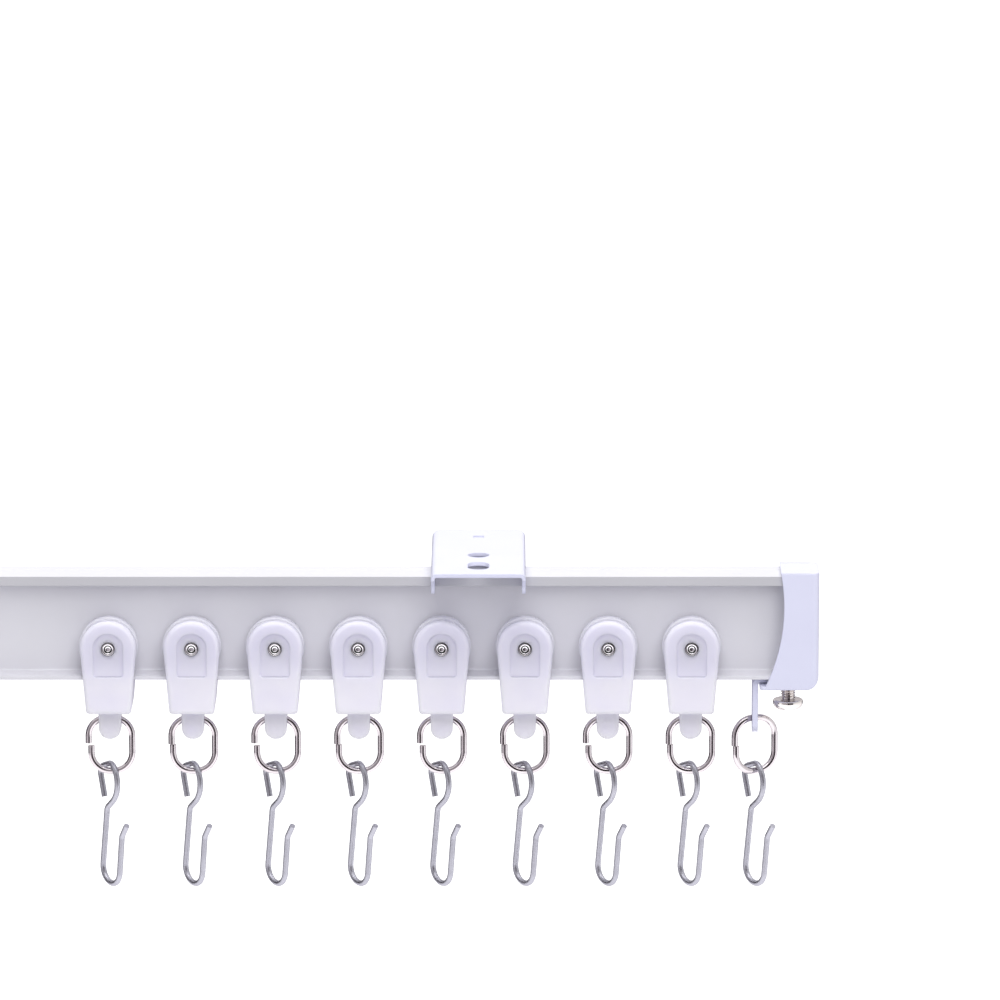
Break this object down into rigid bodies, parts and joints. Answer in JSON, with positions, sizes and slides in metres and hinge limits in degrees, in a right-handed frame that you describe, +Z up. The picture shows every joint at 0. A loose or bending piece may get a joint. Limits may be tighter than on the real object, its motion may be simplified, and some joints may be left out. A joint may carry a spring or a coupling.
{
  "type": "curtain track",
  "caption": "Straight curtain track on a ceiling bracket: an I-shaped rail with end caps and wheeled carriers that hold curtain hooks on wire rings.",
  "frame": {"origin": "on the axis of the ceiling bracket's round screw hole, in the face that lies on the ceiling, above the middle of the rail's width", "axes": "+X along the rail to the right as seen from the room, +Y back from the viewer, +Z up to the ceiling"},
  "size_m": [0.2453, 0.055, 0.0914],
  "materials": {
    "rail_paint": "satin",
    "sheet_paint": "satin",
    "carrier_nylon": "satin",
    "wheel_nylon": "satin",
    "ring_plating": "polished",
    "hook_steel": "satin",
    "plated_rivet": "polished",
    "plated_screw": "polished"
  },
  "bodies": {
    "track": {"rail": "rail_paint", "bracket": "sheet_paint", "end_cap_left": "sheet_paint", "end_tongue_left": "sheet_paint", "end_cap_right": "sheet_paint", "end_tongue_right": "sheet_paint", "clamp_screws": "plated_screw"},
    "latch": {"bracket_latch": "sheet_paint"},
    "carrier_1": {"carrier_1_body": "carrier_nylon", "carrier_1_rivets": "plated_rivet"},
    "wheel_front_1": {"carrier_1_wheel_front": "wheel_nylon"},
    "wheel_back_1": {"carrier_1_wheel_back": "wheel_nylon"},
    "ring_1": {"carrier_1_ring": "ring_plating"},
    "hook_1": {"carrier_1_hook": "hook_steel"},
    "carrier_2": {"carrier_2_body": "carrier_nylon", "carrier_2_rivets": "plated_rivet"},
    "wheel_front_2": {"carrier_2_wheel_front": "wheel_nylon"},
    "wheel_back_2": {"carrier_2_wheel_back": "wheel_nylon"},
    "ring_2": {"carrier_2_ring": "ring_plating"},
    "hook_2": {"carrier_2_hook": "hook_steel"},
    "carrier_3": {"carrier_3_body": "carrier_nylon", "carrier_3_rivets": "plated_rivet"},
    "wheel_front_3": {"carrier_3_wheel_front": "wheel_nylon"},
    "wheel_back_3": {"carrier_3_wheel_back": "wheel_nylon"},
    "ring_3": {"carrier_3_ring": "ring_plating"},
    "hook_3": {"carrier_3_hook": "hook_steel"},
    "carrier_4": {"carrier_4_body": "carrier_nylon", "carrier_4_rivets": "plated_rivet"},
    "wheel_front_4": {"carrier_4_wheel_front": "wheel_nylon"},
    "wheel_back_4": {"carrier_4_wheel_back": "wheel_nylon"},
    "ring_4": {"carrier_4_ring": "ring_plating"},
    "hook_4": {"carrier_4_hook": "hook_steel"},
    "carrier_5": {"carrier_5_body": "carrier_nylon", "carrier_5_rivets": "plated_rivet"},
    "wheel_front_5": {"carrier_5_wheel_front": "wheel_nylon"},
    "wheel_back_5": {"carrier_5_wheel_back": "wheel_nylon"},
    "ring_5": {"carrier_5_ring": "ring_plating"},
    "hook_5": {"carrier_5_hook": "hook_steel"},
    "carrier_6": {"carrier_6_body": "carrier_nylon", "carrier_6_rivets": "plated_rivet"},
    "wheel_front_6": {"carrier_6_wheel_front": "wheel_nylon"},
    "wheel_back_6": {"carrier_6_wheel_back": "wheel_nylon"},
    "ring_6": {"carrier_6_ring": "ring_plating"},
    "hook_6": {"carrier_6_hook": "hook_steel"},
    "carrier_7": {"carrier_7_body": "carrier_nylon", "carrier_7_rivets": "plated_rivet"},
    "wheel_front_7": {"carrier_7_wheel_front": "wheel_nylon"},
    "wheel_back_7": {"carrier_7_wheel_back": "wheel_nylon"},
    "ring_7": {"carrier_7_ring": "ring_plating"},
    "hook_7": {"carrier_7_hook": "hook_steel"},
    "carrier_8": {"carrier_8_body": "carrier_nylon", "carrier_8_rivets": "plated_rivet"},
    "wheel_front_8": {"carrier_8_wheel_front": "wheel_nylon"},
    "wheel_back_8": {"carrier_8_wheel_back": "wheel_nylon"},
    "ring_8": {"carrier_8_ring": "ring_plating"},
    "hook_8": {"carrier_8_hook": "hook_steel"},
    "end_ring_left": {"end_ring_left": "ring_plating"},
    "end_hook_left": {"end_hook_left": "hook_steel"},
    "end_ring_right": {"end_ring_right": "ring_plating"},
    "end_hook_right": {"end_hook_right": "hook_steel"}
  },
  "joints": [
    {"name": "latch_slide", "type": "slide", "parent": "track", "child": "latch", "axis": [0, 1, 0], "range_m": [0, 0.0014]},
    {"name": "carrier_1_slide", "type": "slide", "parent": "track", "child": "carrier_1", "axis": [1, 0, 0], "range_m": [-0.0265, 0.0062]},
    {"name": "wheel_front_1_spin", "type": "hinge", "parent": "carrier_1", "child": "wheel_front_1", "pos_m": [-0.0982, 0, -0.0236], "axis": [0, 1, 0], "range_deg": [-197.69, 46.63]},
    {"name": "wheel_back_1_spin", "type": "hinge", "parent": "carrier_1", "child": "wheel_back_1", "pos_m": [-0.0982, 0, -0.0236], "axis": [0, 1, 0], "range_deg": [-197.69, 46.63]},
    {"name": "ring_1_swing", "type": "hinge", "parent": "carrier_1", "child": "ring_1", "pos_m": [-0.0982, 0, -0.04435], "axis": [1, 0, 0], "range_deg": [-90, 90]},
    {"name": "hook_1_swing", "type": "hinge", "parent": "ring_1", "child": "hook_1", "pos_m": [-0.0982, 0, -0.05895], "axis": [1, 0, 0], "range_deg": [-60, 60]},
    {"name": "carrier_2_slide", "type": "slide", "parent": "track", "child": "carrier_2", "axis": [1, 0, 0], "range_m": [-0.0062, 0.0062]},
    {"name": "wheel_front_2_spin", "type": "hinge", "parent": "carrier_2", "child": "wheel_front_2", "pos_m": [-0.0761, 0, -0.0236], "axis": [0, 1, 0], "range_deg": [-46.63, 46.63]},
    {"name": "wheel_back_2_spin", "type": "hinge", "parent": "carrier_2", "child": "wheel_back_2", "pos_m": [-0.0761, 0, -0.0236], "axis": [0, 1, 0], "range_deg": [-46.63, 46.63]},
    {"name": "ring_2_swing", "type": "hinge", "parent": "carrier_2", "child": "ring_2", "pos_m": [-0.0761, 0, -0.04435], "axis": [1, 0, 0], "range_deg": [-90, 90]},
    {"name": "hook_2_swing", "type": "hinge", "parent": "ring_2", "child": "hook_2", "pos_m": [-0.0761, 0, -0.05895], "axis": [1, 0, 0], "range_deg": [-60, 60]},
    {"name": "carrier_3_slide", "type": "slide", "parent": "track", "child": "carrier_3", "axis": [1, 0, 0], "range_m": [-0.0062, 0.0062]},
    {"name": "wheel_front_3_spin", "type": "hinge", "parent": "carrier_3", "child": "wheel_front_3", "pos_m": [-0.054, 0, -0.0236], "axis": [0, 1, 0], "range_deg": [-46.63, 46.63]},
    {"name": "wheel_back_3_spin", "type": "hinge", "parent": "carrier_3", "child": "wheel_back_3", "pos_m": [-0.054, 0, -0.0236], "axis": [0, 1, 0], "range_deg": [-46.63, 46.63]},
    {"name": "ring_3_swing", "type": "hinge", "parent": "carrier_3", "child": "ring_3", "pos_m": [-0.054, 0, -0.04435], "axis": [1, 0, 0], "range_deg": [-90, 90]},
    {"name": "hook_3_swing", "type": "hinge", "parent": "ring_3", "child": "hook_3", "pos_m": [-0.054, 0, -0.05895], "axis": [1, 0, 0], "range_deg": [-60, 60]},
    {"name": "carrier_4_slide", "type": "slide", "parent": "track", "child": "carrier_4", "axis": [1, 0, 0], "range_m": [-0.0062, 0.0062]},
    {"name": "wheel_front_4_spin", "type": "hinge", "parent": "carrier_4", "child": "wheel_front_4", "pos_m": [-0.0319, 0, -0.0236], "axis": [0, 1, 0], "range_deg": [-46.63, 46.63]},
    {"name": "wheel_back_4_spin", "type": "hinge", "parent": "carrier_4", "child": "wheel_back_4", "pos_m": [-0.0319, 0, -0.0236], "axis": [0, 1, 0], "range_deg": [-46.63, 46.63]},
    {"name": "ring_4_swing", "type": "hinge", "parent": "carrier_4", "child": "ring_4", "pos_m": [-0.0319, 0, -0.04435], "axis": [1, 0, 0], "range_deg": [-90, 90]},
    {"name": "hook_4_swing", "type": "hinge", "parent": "ring_4", "child": "hook_4", "pos_m": [-0.0319, 0, -0.05895], "axis": [1, 0, 0], "range_deg": [-60, 60]},
    {"name": "carrier_5_slide", "type": "slide", "parent": "track", "child": "carrier_5", "axis": [1, 0, 0], "range_m": [-0.0062, 0.0062]},
    {"name": "wheel_front_5_spin", "type": "hinge", "parent": "carrier_5", "child": "wheel_front_5", "pos_m": [-0.0098, 0, -0.0236], "axis": [0, 1, 0], "range_deg": [-46.63, 46.63]},
    {"name": "wheel_back_5_spin", "type": "hinge", "parent": "carrier_5", "child": "wheel_back_5", "pos_m": [-0.0098, 0, -0.0236], "axis": [0, 1, 0], "range_deg": [-46.63, 46.63]},
    {"name": "ring_5_swing", "type": "hinge", "parent": "carrier_5", "child": "ring_5", "pos_m": [-0.0098, 0, -0.04435], "axis": [1, 0, 0], "range_deg": [-90, 90]},
    {"name": "hook_5_swing", "type": "hinge", "parent": "ring_5", "child": "hook_5", "pos_m": [-0.0098, 0, -0.05895], "axis": [1, 0, 0], "range_deg": [-60, 60]},
    {"name": "carrier_6_slide", "type": "slide", "parent": "track", "child": "carrier_6", "axis": [1, 0, 0], "range_m": [-0.0062, 0.0062]},
    {"name": "wheel_front_6_spin", "type": "hinge", "parent": "carrier_6", "child": "wheel_front_6", "pos_m": [0.0123, 0, -0.0236], "axis": [0, 1, 0], "range_deg": [-46.63, 46.63]},
    {"name": "wheel_back_6_spin", "type": "hinge", "parent": "carrier_6", "child": "wheel_back_6", "pos_m": [0.0123, 0, -0.0236], "axis": [0, 1, 0], "range_deg": [-46.63, 46.63]},
    {"name": "ring_6_swing", "type": "hinge", "parent": "carrier_6", "child": "ring_6", "pos_m": [0.0123, 0, -0.04435], "axis": [1, 0, 0], "range_deg": [-90, 90]},
    {"name": "hook_6_swing", "type": "hinge", "parent": "ring_6", "child": "hook_6", "pos_m": [0.0123, 0, -0.05895], "axis": [1, 0, 0], "range_deg": [-60, 60]},
    {"name": "carrier_7_slide", "type": "slide", "parent": "track", "child": "carrier_7", "axis": [1, 0, 0], "range_m": [-0.0062, 0.0062]},
    {"name": "wheel_front_7_spin", "type": "hinge", "parent": "carrier_7", "child": "wheel_front_7", "pos_m": [0.0344, 0, -0.0236], "axis": [0, 1, 0], "range_deg": [-46.63, 46.63]},
    {"name": "wheel_back_7_spin", "type": "hinge", "parent": "carrier_7", "child": "wheel_back_7", "pos_m": [0.0344, 0, -0.0236], "axis": [0, 1, 0], "range_deg": [-46.63, 46.63]},
    {"name": "ring_7_swing", "type": "hinge", "parent": "carrier_7", "child": "ring_7", "pos_m": [0.0344, 0, -0.04435], "axis": [1, 0, 0], "range_deg": [-90, 90]},
    {"name": "hook_7_swing", "type": "hinge", "parent": "ring_7", "child": "hook_7", "pos_m": [0.0344, 0, -0.05895], "axis": [1, 0, 0], "range_deg": [-60, 60]},
    {"name": "carrier_8_slide", "type": "slide", "parent": "track", "child": "carrier_8", "axis": [1, 0, 0], "range_m": [-0.0062, 0.004]},
    {"name": "wheel_front_8_spin", "type": "hinge", "parent": "carrier_8", "child": "wheel_front_8", "pos_m": [0.0565, 0, -0.0236], "axis": [0, 1, 0], "range_deg": [-46.63, 30.26]},
    {"name": "wheel_back_8_spin", "type": "hinge", "parent": "carrier_8", "child": "wheel_back_8", "pos_m": [0.0565, 0, -0.0236], "axis": [0, 1, 0], "range_deg": [-46.63, 30.26]},
    {"name": "ring_8_swing", "type": "hinge", "parent": "carrier_8", "child": "ring_8", "pos_m": [0.0565, 0, -0.04435], "axis": [1, 0, 0], "range_deg": [-90, 90]},
    {"name": "hook_8_swing", "type": "hinge", "parent": "ring_8", "child": "hook_8", "pos_m": [0.0565, 0, -0.05895], "axis": [1, 0, 0], "range_deg": [-60, 60]},
    {"name": "end_ring_left_swing", "type": "hinge", "parent": "track", "child": "end_ring_left", "pos_m": [-0.1383, 0, -0.04435], "axis": [1, 0, 0], "range_deg": [-90, 90]},
    {"name": "end_hook_left_swing", "type": "hinge", "parent": "end_ring_left", "child": "end_hook_left", "pos_m": [-0.1383, 0, -0.05895], "axis": [1, 0, 0], "range_deg": [-60, 60]},
    {"name": "end_ring_right_swing", "type": "hinge", "parent": "track", "child": "end_ring_right", "pos_m": [0.0736, 0, -0.04435], "axis": [1, 0, 0], "range_deg": [-90, 90]},
    {"name": "end_hook_right_swing", "type": "hinge", "parent": "end_ring_right", "child": "end_hook_right", "pos_m": [0.0736, 0, -0.05895], "axis": [1, 0, 0], "range_deg": [-60, 60]}
  ],
  "couplings": [
    {"joint": "wheel_front_1_spin", "follows": "carrier_1_slide", "rad_per_m": 129.87},
    {"joint": "wheel_back_1_spin", "follows": "carrier_1_slide", "rad_per_m": 129.87},
    {"joint": "wheel_front_2_spin", "follows": "carrier_2_slide", "rad_per_m": 129.87},
    {"joint": "wheel_back_2_spin", "follows": "carrier_2_slide", "rad_per_m": 129.87},
    {"joint": "wheel_front_3_spin", "follows": "carrier_3_slide", "rad_per_m": 129.87},
    {"joint": "wheel_back_3_spin", "follows": "carrier_3_slide", "rad_per_m": 129.87},
    {"joint": "wheel_front_4_spin", "follows": "carrier_4_slide", "rad_per_m": 129.87},
    {"joint": "wheel_back_4_spin", "follows": "carrier_4_slide", "rad_per_m": 129.87},
    {"joint": "wheel_front_5_spin", "follows": "carrier_5_slide", "rad_per_m": 129.87},
    {"joint": "wheel_back_5_spin", "follows": "carrier_5_slide", "rad_per_m": 129.87},
    {"joint": "wheel_front_6_spin", "follows": "carrier_6_slide", "rad_per_m": 129.87},
    {"joint": "wheel_back_6_spin", "follows": "carrier_6_slide", "rad_per_m": 129.87},
    {"joint": "wheel_front_7_spin", "follows": "carrier_7_slide", "rad_per_m": 129.87},
    {"joint": "wheel_back_7_spin", "follows": "carrier_7_slide", "rad_per_m": 129.87},
    {"joint": "wheel_front_8_spin", "follows": "carrier_8_slide", "rad_per_m": 129.87},
    {"joint": "wheel_back_8_spin", "follows": "carrier_8_slide", "rad_per_m": 129.87}
  ]
}
